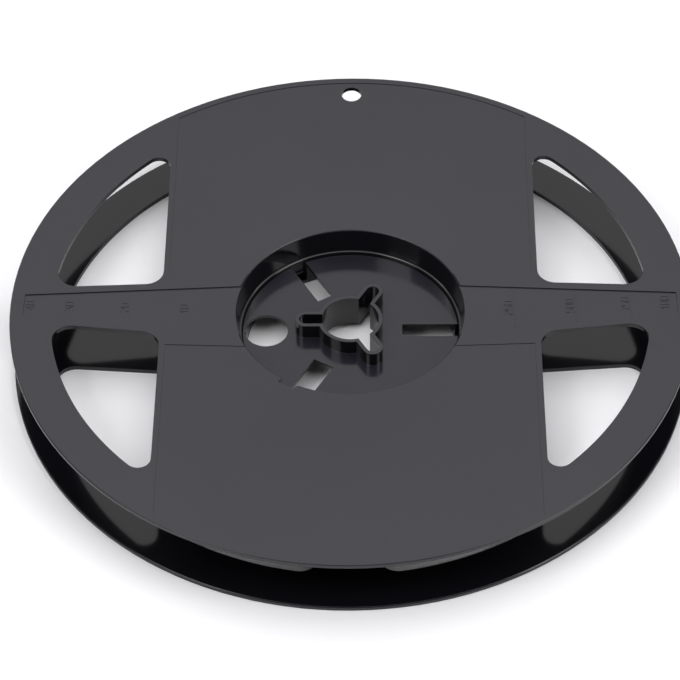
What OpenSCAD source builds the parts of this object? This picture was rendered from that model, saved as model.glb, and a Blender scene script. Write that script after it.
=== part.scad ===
// Seven inch reel for 12 mm component tape, snapped together from two moulded halves.
// The reel lies on its back half: Z is the winding axis, and the scale bands run along X.

/* [Flanges] */
// Diameter over the rims of both flanges
flange_d = 178; // [170:0.5:180]
// Wall thickness of both flanges
flange_t = 1.3; // [1:0.1:1.6]
// Height of the reel over both rims
reel_h = 17.4; // [16.8:0.1:18.4]
// How far the front flange dips from its rim down to the hub opening
front_dip = 2.4; // [0.5:0.1:2.6]
// Chamfer along the rims
edge_break = 0.2; // [0.1:0.05:0.4]

/* [Windows] */
// Radius of the outer arc of every window
window_r = 78.4; // [74:0.1:80]
// Distance of the straight inner edge of the front windows from the Y axis
window_x = 49.5; // [46:0.5:54]
// Half width of a spoke where it leaves the straight inner edge of a window
spoke_half_w = 9; // [7:0.1:11]
// Angle by which each edge of a spoke closes in towards the rim
spoke_taper = 4.5; // [0:0.5:6]
// Radius of the window corner between spoke and rim
rim_corner_r = 5; // [3:0.5:7]
// Radius of the window corner between spoke and straight edge
hub_corner_r = 5; // [3:0.5:7]
// Radius of the pointed window corner
tip_corner_r = 3.2; // [2:0.1:4]
// Radius of the ring between core and windows of the back flange
back_ring_r = 40; // [35:1:48]

/* [Scale bands and label panels] */
// Depth of the scale bands below the face
band_depth = 0.3; // [0.1:0.05:0.4]
// Half width of a scale band at the hub opening
band_hub_half_w = 8.8; // [7:0.1:9]
// Half width of a scale band at its outer end
band_rim_half_w = 3.6; // [3:0.1:6]
// Radius at which the scale bands end
band_reach = 85.5; // [80:0.5:87]
// Depth of the label panels below the face
panel_depth = 0.15; // [0.1:0.05:0.3]
// Half width of a label panel
panel_half_w = 48; // [44:0.5:49]
// Distance from the X axis to the straight edge of a label panel
panel_y = 13.2; // [11:0.1:16]
// Radius of the outer arc of a label panel
panel_r = 87; // [84:0.5:88]
// Radius of the hole by which the reel is hung
hang_hole_r = 2.75; // [2:0.05:3]
// Distance of that hole from the axis
hang_hole_y = 82.5; // [81:0.1:84]

/* [Core] */
// Radius of the hub opening at the face
cup_r = 30; // [29.6:0.1:30.4]
// Radius of the cup wall where it meets the web
cup_foot_r = 29.1; // [29:0.05:29.4]
// Outer radius of the core on which the tape is wound
core_r = 31.2; // [31:0.1:32]
// Outer radius of the drum that the core sleeve snaps over
drum_r = 28.9; // [28.6:0.05:28.95]
// Wall thickness of the drum
drum_wall = 1.2; // [1:0.1:1.5]
// Height of the web's upper face
web_z = 7.1; // [6.5:0.1:8]
// Thickness of the web
web_t = 1; // [0.8:0.1:1.4]
// Height of the snap bead on the drum
bead_z = 4; // [3:0.1:4.5]
// How far the snap bead stands out from the drum
bead_h = 0.35; // [0.2:0.05:0.4]

/* [Slots] */
// Width of the slots that part the drum into springy segments
slot_w = 4.3; // [3.5:0.1:5]
// Distance of the inner end of every slot from the axis
slot_start_r = 13.7; // [13:0.1:15]
// Width of the slot that takes the start of the tape
tape_slot_w = 5.8; // [5:0.1:7]
// Angle of the tape slot
tape_slot_angle = 240; // [200:5:260]
// Radius up to which the tape slot cuts the front flange
tape_slot_reach = 31.6; // [31.2:0.1:33]
// Radius of the round hole in the web
web_hole_r = 5.7; // [4:0.1:6]
// Distance of the round hole from the axis
web_hole_x = 22.2; // [20:0.1:23]

/* [Arbor] */
// Radius of the arbor bore
bore_r = 7.5; // [6.5:0.1:8]
// Wall thickness of the arbor boss
boss_wall = 1; // [0.8:0.1:1.2]
// Height of the upper end of the arbor boss
boss_z = 11.5; // [10:0.1:13]
// Width of the three key slots
key_w = 3.4; // [3:0.1:3.6]
// Radius that the ends of the key slots reach
key_reach = 13.5; // [11:0.1:13.6]

/* [Hidden] */
$fn = 96;
// Angles of the two plain slots and of the key slots.
slot_angles = [0, 120];
key_angles = [60, 180, 300];
flange_r = flange_d / 2;
// Height of the hub opening's rim, and rise of the front face per millimetre of radius.
face_z = reel_h - front_dip;
dip_slope = front_dip / (flange_r - cup_r);
// Play round the snap bead, round at the web's rim, chamfer of the hub opening, round of the tape slot.
bead_clearance = 0.1;
cup_fillet = 0.5;
lip_round = 0.35;
tape_guide_r = 1.2;
// Segments of a window's corners and of its outer arc.
corner_steps = 10;
arc_steps = 32;
// How far cutting shapes run past the faces that they cut.
cut = 1;

// Height of the front flange's upper face at a radius.
function face_at(r) = face_z + dip_slope * (r - cup_r);
// Directions along a spoke edge of the first quadrant and square to it.
spoke_along = [cos(spoke_taper), -sin(spoke_taper)];
spoke_across = [sin(spoke_taper), cos(spoke_taper)];
// Distance from the axis to the line that runs c beyond the spoke edge.
function beyond_spoke(c) = c + [window_x, spoke_half_w] * spoke_across;
// Centre of a corner of radius c that touches the spoke edge, at a distance from the axis.
function spoke_corner(c, rho) =
    beyond_spoke(c) * spoke_across + sqrt(pow(rho, 2) - pow(beyond_spoke(c), 2)) * spoke_along;
// Polar angle of a point.
function angle_of(p) = atan2(p[1], p[0]);
// Points along an arc.
function arc(centre, r, from, to, n) =
    [for (i = [0:n]) let (a = from + (to - from) * i / n) centre + r * [cos(a), sin(a)]];

// Front window of the first quadrant: rim arc, straight edge along Y, and tapering spoke edge.
module front_window() {
    hub_x = window_x + hub_corner_r;
    hub_y = (beyond_spoke(hub_corner_r) - hub_x * spoke_across[0]) / spoke_across[1];
    rim_m = spoke_corner(rim_corner_r, window_r - rim_corner_r);
    tip_x = window_x + tip_corner_r;
    tip_m = [tip_x, sqrt(pow(window_r - tip_corner_r, 2) - pow(tip_x, 2))];
    polygon(concat(
        arc([hub_x, hub_y], hub_corner_r, 180, 270 - spoke_taper, corner_steps),
        arc(rim_m, rim_corner_r, 270 - spoke_taper, 360 + angle_of(rim_m), corner_steps),
        arc([0, 0], window_r, angle_of(rim_m), angle_of(tip_m), arc_steps),
        arc(tip_m, tip_corner_r, angle_of(tip_m), 180, corner_steps)
    ));
}

// Back window of the first quadrant: the same rim and spokes, down to the ring round the core.
module back_window() {
    rim_m = spoke_corner(rim_corner_r, window_r - rim_corner_r);
    ring_m = spoke_corner(hub_corner_r, back_ring_r + hub_corner_r);
    ring_a = angle_of(ring_m);
    half = concat(
        arc([0, 0], back_ring_r, 45, ring_a, corner_steps),
        arc(ring_m, hub_corner_r, 180 + ring_a, 270 - spoke_taper, corner_steps),
        arc(rim_m, rim_corner_r, 270 - spoke_taper, 360 + angle_of(rim_m), corner_steps),
        arc([0, 0], window_r, angle_of(rim_m), 45, arc_steps)
    );
    polygon(half);
    mirror([1, -1]) polygon(half);
}

// A shape of the first quadrant, repeated in all four.
module four_times() {
    for (turn = [0, 180])
        rotate(turn) {
            children();
            mirror([1, 0]) children();
        }
}

// Scale band to the right of the hub.
module band() {
    intersection() {
        circle(r = band_reach);
        polygon([
            [cup_r - 2 * cut, -band_hub_half_w],
            [band_reach + cut, -band_rim_half_w],
            [band_reach + cut, band_rim_half_w],
            [cup_r - 2 * cut, band_hub_half_w]
        ]);
    }
}

// Label panel above the hub.
module panel() {
    intersection() {
        circle(r = panel_r);
        translate([-panel_half_w, panel_y]) square([2 * panel_half_w, panel_r]);
    }
}

// The space above the front face from a given depth below it.
module above_face(depth) {
    rotate_extrude()
        polygon([
            [0, face_at(0) - depth],
            [flange_r + cut, face_at(flange_r + cut) - depth],
            [flange_r + cut, reel_h + 2 * cut],
            [0, reel_h + 2 * cut]
        ]);
}

// A recess of one depth over a flat outline.
module recess(depth) {
    intersection() {
        above_face(depth);
        linear_extrude(height = reel_h + 2 * cut) children();
    }
}

// Key-slotted outline of the arbor, grown outwards by a wall.
module arbor_outline(grow = 0) {
    key_end = key_reach - key_w / 2;
    circle(r = bore_r + grow);
    for (a = key_angles)
        rotate(a) {
            translate([0, -key_w / 2 - grow]) square([key_end, key_w + 2 * grow]);
            translate([key_end, 0]) circle(r = key_w / 2 + grow);
        }
}

// Slot from near the arbor out to a given radius, centred on an angle.
module radial_slot(angle, width, reach, low, high) {
    rotate(angle)
        translate([slot_start_r, -width / 2, low])
            cube([reach - slot_start_r, width, high - low]);
}

// Front flange, core sleeve and the start slot of the tape, moulded in one.
module front_half() {
    foot_z = flange_t;
    groove_r = drum_r + bead_h + bead_clearance;
    color("#3c3c40")
        difference() {
            // Flange and sleeve as one revolved profile.
            rotate_extrude()
                polygon([
                    [cup_foot_r, foot_z],
                    [core_r, foot_z],
                    [core_r, face_at(core_r) - flange_t],
                    [flange_r - edge_break, reel_h - flange_t],
                    [flange_r, reel_h - flange_t + edge_break],
                    [flange_r, reel_h - edge_break],
                    [flange_r - edge_break, reel_h],
                    [cup_r + lip_round, face_at(cup_r + lip_round)],
                    [cup_r, face_z - lip_round],
                    [cup_foot_r, web_z]
                ]);
            // Snap groove that holds the drum's bead.
            rotate_extrude()
                polygon([
                    [cup_foot_r - cut, bead_z - 2 * bead_h],
                    [cup_foot_r, bead_z - bead_h - bead_clearance],
                    [groove_r, bead_z - bead_clearance],
                    [groove_r, bead_z + bead_clearance],
                    [cup_foot_r, bead_z + bead_h + bead_clearance],
                    [cup_foot_r - cut, bead_z + 2 * bead_h]
                ]);
            // Windows, scale bands, label panels and the hole to hang the reel by.
            translate([0, 0, foot_z + cut]) linear_extrude(height = reel_h) four_times() front_window();
            for (side = [0, 180])
                rotate(side) {
                    recess(band_depth) band();
                    recess(panel_depth) panel();
                }
            translate([0, hang_hole_y, 0]) cylinder(r = hang_hole_r, h = reel_h + cut);
            // Start slot of the tape; one jamb is rounded so that it doesn't crease the tape.
            rotate(tape_slot_angle)
                difference() {
                    translate([cup_foot_r - 2 * cut, -tape_slot_w / 2, foot_z - cut])
                        cube([tape_slot_reach - cup_foot_r + 2 * cut, tape_slot_w, reel_h]);
                    translate([core_r, tape_slot_w / 2, 0]) cylinder(r = tape_guide_r, h = reel_h + 2 * cut);
                }
        }
}

// Back flange, drum, web and arbor boss, moulded in one.
module back_half() {
    drum_bore_r = drum_r - drum_wall;
    color("#38383c")
        difference() {
            union() {
                // Flange, drum and web as one revolved profile.
                rotate_extrude()
                    polygon([
                        [drum_bore_r, 0],
                        [flange_r - edge_break, 0],
                        [flange_r, edge_break],
                        [flange_r, flange_t - edge_break],
                        [flange_r - edge_break, flange_t],
                        [drum_r, flange_t],
                        [drum_r, bead_z - bead_h],
                        [drum_r + bead_h, bead_z],
                        [drum_r, bead_z + bead_h],
                        [drum_r, web_z - cup_fillet],
                        [drum_r - cup_fillet, web_z],
                        [bore_r, web_z],
                        [bore_r, web_z - web_t],
                        [drum_bore_r, web_z - web_t]
                    ]);
                linear_extrude(height = boss_z) arbor_outline(boss_wall);
            }
            translate([0, 0, -cut]) linear_extrude(height = boss_z + 2 * cut) arbor_outline();
            // Windows of the flange.
            translate([0, 0, -cut]) linear_extrude(height = flange_t + 2 * cut) four_times() back_window();
            // Slots through web and drum, and the round hole in the web.
            for (a = slot_angles)
                radial_slot(a, slot_w, drum_r + cut, flange_t, web_z + cut);
            radial_slot(tape_slot_angle, tape_slot_w, drum_r + cut, flange_t, web_z + cut);
            translate([-web_hole_x, 0, web_z - web_t - cut])
                cylinder(r = web_hole_r, h = web_t + 2 * cut);
        }
}

back_half();
front_half();
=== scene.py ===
import math

import bmesh
import bpy
import numpy as np
from mathutils import Matrix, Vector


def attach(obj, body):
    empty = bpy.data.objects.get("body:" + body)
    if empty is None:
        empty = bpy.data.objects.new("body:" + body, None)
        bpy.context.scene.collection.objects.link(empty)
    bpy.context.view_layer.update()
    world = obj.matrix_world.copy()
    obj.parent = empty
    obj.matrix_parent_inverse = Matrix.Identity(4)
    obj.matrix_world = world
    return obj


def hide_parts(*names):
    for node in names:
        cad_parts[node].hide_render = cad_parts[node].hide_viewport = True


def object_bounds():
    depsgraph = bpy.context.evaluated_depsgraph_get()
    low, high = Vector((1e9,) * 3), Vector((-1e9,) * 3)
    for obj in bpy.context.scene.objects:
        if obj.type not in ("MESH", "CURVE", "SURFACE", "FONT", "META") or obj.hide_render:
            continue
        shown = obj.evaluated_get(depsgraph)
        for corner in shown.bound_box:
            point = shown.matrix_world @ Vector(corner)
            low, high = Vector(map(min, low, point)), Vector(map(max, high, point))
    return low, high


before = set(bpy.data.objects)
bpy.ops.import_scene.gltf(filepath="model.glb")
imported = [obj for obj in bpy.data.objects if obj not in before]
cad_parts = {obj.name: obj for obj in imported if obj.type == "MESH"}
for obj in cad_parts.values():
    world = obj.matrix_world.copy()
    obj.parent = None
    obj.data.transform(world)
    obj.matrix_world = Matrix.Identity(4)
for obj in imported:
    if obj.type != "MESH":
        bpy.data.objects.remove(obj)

# Seven inch tape reel of black moulded polystyrene, lying on its back half. The sections follow the
# reel as it is put together: back half, front half, the raised scale on the front bands, and then
# the table, the light and the camera. Everything is in metres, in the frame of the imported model: Z
# is the winding axis and the scale bands run along X.

cad_box = [list(corner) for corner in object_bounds()]


# ---------------------------------------------------------------- back half
# The back flange, the drum with its three springy segments, the web and the arbor boss are one
# moulding in black high-impact polystyrene. The drum stands in the core sleeve of the front half
# and holds it by a snap bead. The mould is spark-eroded outside and polished between the flanges.

class Socket:
    """A shader socket on which arithmetic adds Math nodes, so that masks read as formulas."""

    def __init__(self, material, link):
        self.material, self.link = material, link

    def _math(self, operation, *values):
        return self.material.node("ShaderNodeMath", {"operation": operation}, list(values))

    def __add__(self, other):
        return self._math("ADD", self, other)

    __radd__ = __add__

    def __sub__(self, other):
        return self._math("SUBTRACT", self, other)

    def __rsub__(self, other):
        return self._math("SUBTRACT", other, self)

    def __mul__(self, other):
        return self._math("MULTIPLY", self, other)

    __rmul__ = __mul__

    def __pow__(self, other):
        return self._math("POWER", self, other)

    def step(self, low, high):
        """0 below low, 1 above high, and a smooth rise between them."""
        return self.material.node("ShaderNodeMapRange", {"interpolation_type": "SMOOTHSTEP"},
                                  {"Value": self, "From Min": low, "From Max": high})

    def clamp(self):
        return self._math("MINIMUM", self._math("MAXIMUM", self, 0.0), 1.0)


class Material:
    """A node material around one Principled BSDF."""

    def __init__(self, name):
        self.data = bpy.data.materials.new(name)
        self.data.use_nodes = True
        self.tree = self.data.node_tree
        self.shader = self.tree.nodes["Principled BSDF"]

    def node(self, kind, settings=None, inputs=None, output=0):
        """Adds a node of a type: its settings first, then the values or links of its sockets."""
        made = self.tree.nodes.new(kind)
        for name, value in (settings or {}).items():
            if name == "stops":
                for element, (place, colour) in zip(made.color_ramp.elements, value):
                    element.position, element.color = place, colour
            else:
                setattr(made, name, value)
        pairs = enumerate(inputs) if isinstance(inputs, list) else (inputs or {}).items()
        for key, value in pairs:
            if isinstance(value, Socket):
                self.tree.links.new(value.link, made.inputs[key])
            else:
                made.inputs[key].default_value = value
        return Socket(self, made.outputs[output])

    def set(self, **values):
        """Sets or links sockets of the Principled BSDF; an underscore stands for a space."""
        for name, value in values.items():
            socket = self.shader.inputs[name.replace("_", " ")]
            if isinstance(value, Socket):
                self.tree.links.new(value.link, socket)
            else:
                socket.default_value = value
        return self


def styrene(name, matt_face, satin_face):
    """Black polystyrene with a fine spark-eroded grain outside and a polished finish inside.

    matt_face and satin_face take x, y and z in Object coordinates and return masks: 1 on the
    textured outside, and 1 on the finer satin of the hub's floor. The rest is polished, and its
    darker base colour is painted shade on the hub's walls, the flanges' inner faces and the boss.
    """
    plastic = Material(name)
    place = plastic.node("ShaderNodeTexCoord", output=3)
    x, y, z = (plastic.node("ShaderNodeSeparateXYZ", None, [place], axis) for axis in range(3))
    matt, satin = matt_face(x, y, z), satin_face(x, y, z)
    cloudy = plastic.node("ShaderNodeTexNoise", inputs={"Vector": place, "Scale": 45.0, "Detail": 3.0})
    grain = plastic.node("ShaderNodeTexNoise", inputs={"Vector": place, "Scale": 2600.0, "Detail": 2.0})
    specks = plastic.node("ShaderNodeTexVoronoi", inputs={"Vector": place, "Scale": 190.0})
    speck_r, speck_rim_r = 0.02, 0.06
    dust = 1.0 - specks.step(speck_r, speck_rim_r)
    polished_rough, satin_rough, matt_rough = 0.10, 0.15, 0.38
    rough = (polished_rough + satin * (satin_rough - polished_rough)
             + matt * (matt_rough - polished_rough) + matt * (cloudy - 0.5) * 0.06)
    # The dark first stop, on the polished inside, is painted shade; the matt and satin faces lie near
    # the second stop, clouded at random and lifted by dust specks.
    tone_dust_and_painted_shade = plastic.node("ShaderNodeValToRGB", {"stops": [
        (0.0, (0.0050, 0.0048, 0.0066, 1.0)), (1.0, (0.0165, 0.0152, 0.0225, 1.0))]},
        {"Fac": ((matt + satin) * (0.80 + (cloudy - 0.5) * 0.25) + dust * 0.10).clamp()})
    bump = plastic.node("ShaderNodeBump", inputs={
        "Strength": 0.2, "Distance": 0.00002, "Height": grain * matt})
    plastic.set(Base_Color=tone_dust_and_painted_shade, Roughness=rough, Normal=bump, IOR=1.59)
    return plastic.data


def moulding(node, name, extra=None, remap=None):
    """The CAD node's own mesh, welded, with the sharp corners of the steel mould eased.

    Limited dissolve turns coplanar triangles into whole faces. The bevel then gives every corner
    sharper than 35 degrees a radius, as a moulded corner has. extra is a (points, faces) pair of
    closed shells that the moulding has besides the solid, and remap moves the solid's points.
    """
    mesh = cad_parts[node].data.copy()
    mesh.name = name
    piece = bpy.data.objects.new(name, mesh)
    bpy.context.scene.collection.objects.link(piece)
    for layer in [one for one in mesh.attributes if one.name == "custom_normal"]:
        mesh.attributes.remove(layer)
    if remap is not None:
        points = np.empty(3 * len(mesh.vertices))
        mesh.vertices.foreach_get("co", points)
        mesh.vertices.foreach_set("co", remap(points.reshape(-1, 3)).ravel())
    if extra is not None:
        added = bpy.data.meshes.new(name + "_extra")
        added.from_pydata(extra[0].tolist(), [], extra[1])
        joined = bmesh.new()
        joined.from_mesh(mesh)
        joined.from_mesh(added)
        joined.to_mesh(mesh)
        joined.free()
        bpy.data.meshes.remove(added)
    weld = piece.modifiers.new("weld", "WELD")
    weld.merge_threshold = 1e-6
    planar = piece.modifiers.new("whole_faces", "DECIMATE")
    planar.decimate_type = "DISSOLVE"
    planar.angle_limit = math.radians(0.2)
    bevel = piece.modifiers.new("eased_corners", "BEVEL")
    bevel.width = 0.00022
    bevel.segments = 3
    bevel.limit_method = "ANGLE"
    bevel.angle_limit = math.radians(35)
    bevel.harden_normals = True
    mesh.polygons.foreach_set("use_smooth", np.ones(len(mesh.polygons), bool))
    mesh.update()
    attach(piece, "root")
    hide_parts(node)
    return piece


def radius_of(x, y):
    """Distance from the winding axis: sqrt(x^2 + y^2)."""
    return (x * x + y * y) ** 0.5


back_wall, web_top, boss_top = 0.0013, 0.0071, 0.0115
cup_foot_r, boss_reach, boss_foot_z = 0.0288, 0.0152, 0.0021
edge = 0.0001


def back_matt(x, y, z):
    """The flange's low face, up to the middle of its wall, and the boss's rim."""
    boss_rim = z.step(boss_top - 4 * edge, boss_top - 2 * edge)
    return 1.0 - z.step(back_wall - 4 * edge, back_wall - edge) + boss_rim


def back_satin(x, y, z):
    """The web's upper face. The boss's walls are polished, with the darker base colour of painted shade.
    """
    level = z.step(web_top - 3 * edge, web_top - edge) - z.step(web_top, web_top + 2 * edge)
    return level * (1.0 - radius_of(x, y).step(cup_foot_r - edge, cup_foot_r))


def shorter_boss(points):
    """The boss ends a little above the flange's outer face: its foot points are lifted."""
    foot = (np.hypot(points[:, 0], points[:, 1]) < boss_reach) & (points[:, 2] < 2 * edge)
    points[foot, 2] = boss_foot_z
    return points


back = moulding("back_half", "back_half_moulding", remap=shorter_boss)
back.data.materials.clear()
back.data.materials.append(styrene("back_styrene", back_matt, back_satin))


# ---------------------------------------------------------------- front half
# The front flange and the core sleeve are one moulding too. It dips a little towards the hub
# opening, its face carries two shallow label panels and two scale bands, and a narrow seat inside
# the sleeve rests on the rim of the web.

def lathe(profile, start, stop, steps):
    """A closed shell: the profile (radius, height) turned about Z from start to stop degrees.

    Point (i, j) is (r_j cos a_i, r_j sin a_i, z_j) with a_i = start + (stop - start) i / steps.
    The two end outlines are closed by caps.
    """
    r, z = np.asarray(profile, float).T
    a = np.radians(np.linspace(start, stop, steps + 1))[:, None]
    points = np.stack([r * np.cos(a), r * np.sin(a), z + 0 * a], axis=-1).reshape(-1, 3)
    n = len(r)
    i, j = np.meshgrid(np.arange(steps), np.arange(n), indexing="ij")
    low, high = i * n + j, i * n + (j + 1) % n
    quads = np.stack([low, low + n, high + n, high], axis=-1).reshape(-1, 4).tolist()
    caps = [list(range(n)), list(range(steps * n + n - 1, steps * n - 1, -1))]
    return points, quads + caps


def seat_profile(inner_r, outer_r, low, high, rounding, steps):
    """Outline of the seat: a rectangle whose upper inner corner is a quarter circle."""
    t = np.linspace(0.0, math.pi / 2, steps + 1)
    corner = np.stack([inner_r + rounding * (1 - np.cos(t)), high - rounding * (1 - np.sin(t))], axis=-1)
    return np.vstack([[[inner_r, low]], corner, [[outer_r, high + edge], [outer_r, low]]])


seat_inner_r, seat_outer_r, seat_rounding = 0.02858, 0.0296, 0.00042
seat_low, seat_high = web_top + 0.00002, web_top + 0.00095
tape_slot_angle, tape_slot_half = 240.0, 6.0
seat = lathe(seat_profile(seat_inner_r, seat_outer_r, seat_low, seat_high, seat_rounding, 6),
             tape_slot_angle + tape_slot_half, tape_slot_angle - tape_slot_half + 360.0, 174)


flange_r, flange_top = cad_box[1][0], cad_box[1][2]
hub_r, hub_dip = 0.030, 0.0024
face_slope, hub_face_z = hub_dip / (flange_r - hub_r), flange_top - hub_dip


def front_matt(x, y, z):
    """1 on the front face: above a cone that lies half a wall under the face."""
    over_face = z - (radius_of(x, y) - hub_r) * face_slope - hub_face_z
    return over_face.step(-7 * edge, -5 * edge)


def no_face(x, y, z):
    """0 everywhere."""
    return x * 0.0


def whole_piece(x, y, z):
    """1 everywhere."""
    return no_face(x, y, z) + 1.0


front = moulding("front_half", "front_half_moulding", seat)
front.data.materials.clear()
front.data.materials.append(styrene("front_styrene", front_matt, no_face))


# ---------------------------------------------------------------- raised scale
# Each band carries a plain scale by which the length of the wound tape is judged: small numbers,
# on the right band beside thin lines across it, cut into the mould and so raised on the moulding.

stroke_w, stroke_h, band_recess = 0.00024, 0.00010, 0.0003
digit_w, digit_h, digit_gap = 0.00125, 0.0019, 0.0005

# Strokes of each digit in a box of width 1 and height 1, as runs of corner points.
strokes = {
    "0": [[(0, 0), (1, 0), (1, 1), (0, 1), (0, 0)]],
    "1": [[(0.2, 0.75), (0.6, 1), (0.6, 0)]],
    "2": [[(0, 1), (1, 1), (1, 0.55), (0, 0.3), (0, 0), (1, 0)]],
    "3": [[(0, 1), (1, 1), (0.45, 0.58), (1, 0.4), (1, 0), (0, 0)]],
    "4": [[(0.75, 0), (0.75, 1), (0, 0.3), (1, 0.3)]],
    "5": [[(1, 1), (0, 1), (0, 0.55), (1, 0.55), (1, 0), (0, 0)]],
    "7": [[(0, 1), (1, 1), (0.4, 0)]],
}


def band_height(x, y):
    """Height of the recessed band's face: the cone of the flange less the recess."""
    return hub_face_z + face_slope * (np.hypot(x, y) - hub_r) - band_recess


def raised_strokes(name, runs):
    """One mesh of thin raised bars, a bar for each pair of neighbouring points of every run.

    A bar is a box along its segment, stroke_w wide and stroke_h high, longer by half a width at
    both ends so that neighbours close their corner.
    """
    ends = np.array([(a, b) for run in runs for a, b in zip(run[:-1], run[1:])], float)
    start, stop = ends[:, 0], ends[:, 1]
    along = (stop - start) / np.linalg.norm(stop - start, axis=1)[:, None]
    side = np.stack([-along[:, 1], along[:, 0]], axis=-1)
    start, stop = start - along * stroke_w / 2, stop + along * stroke_w / 2
    half = side * stroke_w / 2
    flat = np.stack([start - half, stop - half, stop + half, start + half], axis=1)
    level = band_height(flat[..., 0], flat[..., 1])
    low = np.concatenate([flat, (level - stroke_h)[..., None]], axis=-1)
    high = np.concatenate([flat, (level + stroke_h)[..., None]], axis=-1)
    points = np.concatenate([low, high], axis=1).reshape(-1, 3)
    box = np.array([[3, 2, 1, 0], [4, 5, 6, 7], [0, 1, 5, 4], [1, 2, 6, 5], [2, 3, 7, 6], [3, 0, 4, 7]])
    faces = (box[None] + 8 * np.arange(len(ends))[:, None, None]).reshape(-1, 4)
    mesh = bpy.data.meshes.new(name)
    mesh.from_pydata(points.tolist(), [], faces.tolist())
    piece = bpy.data.objects.new(name, mesh)
    bpy.context.scene.collection.objects.link(piece)
    return piece


def number_runs(text, x, y):
    """Strokes of a number that reads from the near side to the far side and starts at (x, y)."""
    runs = []
    for place, digit in enumerate(text):
        base = y + place * (digit_w + digit_gap)
        for run in strokes[digit]:
            runs.append([(x - v * digit_h, base + u * digit_w) for u, v in run])
    return runs


tick_gap, tick_reach, tick_taper = 0.0006, 0.0080, 0.085
right_start_y, left_start_y, left_shift = -0.0022, -0.0014, 0.0009
right_marks, left_marks = [], []
for x, number in ((0.0430, "250"), (0.0590, "500"), (0.0735, "750"), (0.0838, "100")):
    right_marks += number_runs(number, x - tick_gap, right_start_y)
    reach = tick_reach - (x - hub_r) * tick_taper
    right_marks.append([(x, -reach), (x, reach)])
for x, number in ((-0.0435, "10"), (-0.0590, "20"), (-0.0735, "30"), (-0.0838, "40")):
    left_marks += number_runs(number, x + left_shift, left_start_y)

raised = styrene("scale_styrene", whole_piece, no_face)
for name, runs in (("scale_right", right_marks), ("scale_left", left_marks)):
    scale = raised_strokes(name, runs)
    scale.data.materials.append(raised)
    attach(scale, "root")


# ---------------------------------------------------------------- table, light and camera
# The reel lies on a white table top in a dim room. Soft boxes hang in front of it to the left and
# to the right, a large one hangs overhead, and a lit white wall stands behind it.

def flat_mesh(name, corners):
    """One face through the given corners, counterclockwise seen from outside."""
    mesh = bpy.data.meshes.new(name)
    mesh.from_pydata(corners, [], [tuple(range(len(corners)))])
    piece = bpy.data.objects.new(name, mesh)
    bpy.context.scene.collection.objects.link(piece)
    return piece


half = 3.0
table = flat_mesh("table", [(-half, -half, 0), (half, -half, 0), (half, half, 0), (-half, half, 0)])
white = Material("white_table")
camera_ray = white.node("ShaderNodeLightPath")
lit_colour, seen_colour = (0.80, 0.80, 0.81, 1.0), (0.98, 0.975, 1.0, 1.0)
paper = white.node("ShaderNodeMix", {"data_type": "RGBA"},
                   {0: camera_ray, 6: lit_colour, 7: seen_colour}, output=2)
white.set(Base_Color=paper, Roughness=0.9, Specular_IOR_Level=0.2)
table.data.materials.append(white.data)

world = bpy.data.worlds.new("studio")
bpy.context.scene.world = world
world.use_nodes = True
sky = world.node_tree.nodes["Background"]
sky.inputs["Color"].default_value = (1.0, 1.0, 1.0, 1.0)
sky.inputs["Strength"].default_value = 0.13


def soft_box(name, direction, distance, size, radiance):
    """A rectangular area lamp that faces the reel, as bright as a surface of that radiance."""
    toward = np.array(direction, float) / np.linalg.norm(direction)
    lamp = bpy.data.lights.new(name, "AREA")
    lamp.shape = "RECTANGLE"
    lamp.size, lamp.size_y = size
    lamp.energy = radiance * math.pi * size[0] * size[1]
    piece = bpy.data.objects.new(name, lamp)
    bpy.context.scene.collection.objects.link(piece)
    piece.location = toward * distance
    yaw = math.atan2(toward[0], -toward[1])
    tilt = math.atan2(math.hypot(toward[0], toward[1]), toward[2])
    piece.rotation_euler = (tilt, 0.0, yaw)


soft_box("left_soft_box", (-0.54, -0.38, 0.75), 1.2, (0.52, 0.52), 4.8)
soft_box("right_soft_box", (0.70, -0.32, 0.64), 1.2, (0.52, 0.52), 4.8)
soft_box("overhead_soft_box", (0.0, 0.05, 1.0), 1.3, (1.7, 1.5), 1.75)
soft_box("back_wall_light", (0.0, 0.72, 0.70), 2.0, (3.2, 1.3), 0.65)

# The camera stands in front of the reel and looks down at it through a long lens.
camera_data = bpy.data.cameras.new("camera")
camera_data.sensor_width = 36.0
camera_data.lens = 159.7
camera_data.clip_start, camera_data.clip_end = 0.05, 20.0
camera = bpy.data.objects.new("camera", camera_data)
bpy.context.scene.collection.objects.link(camera)
elevation, azimuth, roll = math.radians(46.138), math.radians(1.2), math.radians(1.077)
distance = 0.77995
look = np.array([-0.0028035, -0.0134013, 0.0])
back_off = np.array([0.0, -math.cos(elevation), math.sin(elevation)])
turn = np.array(Matrix.Rotation(azimuth, 3, "Z"))
camera.location = turn @ (look + back_off * distance) + np.array([0, 0, cad_box[1][2]])
facing = (Matrix.Rotation(azimuth, 4, "Z") @ Matrix.Rotation(math.pi / 2 - elevation, 4, "X")
          @ Matrix.Rotation(-roll, 4, "Z"))
camera.rotation_euler = facing.to_euler("XYZ")
bpy.context.scene.camera = camera
bpy.context.scene.view_settings.view_transform = "Standard"
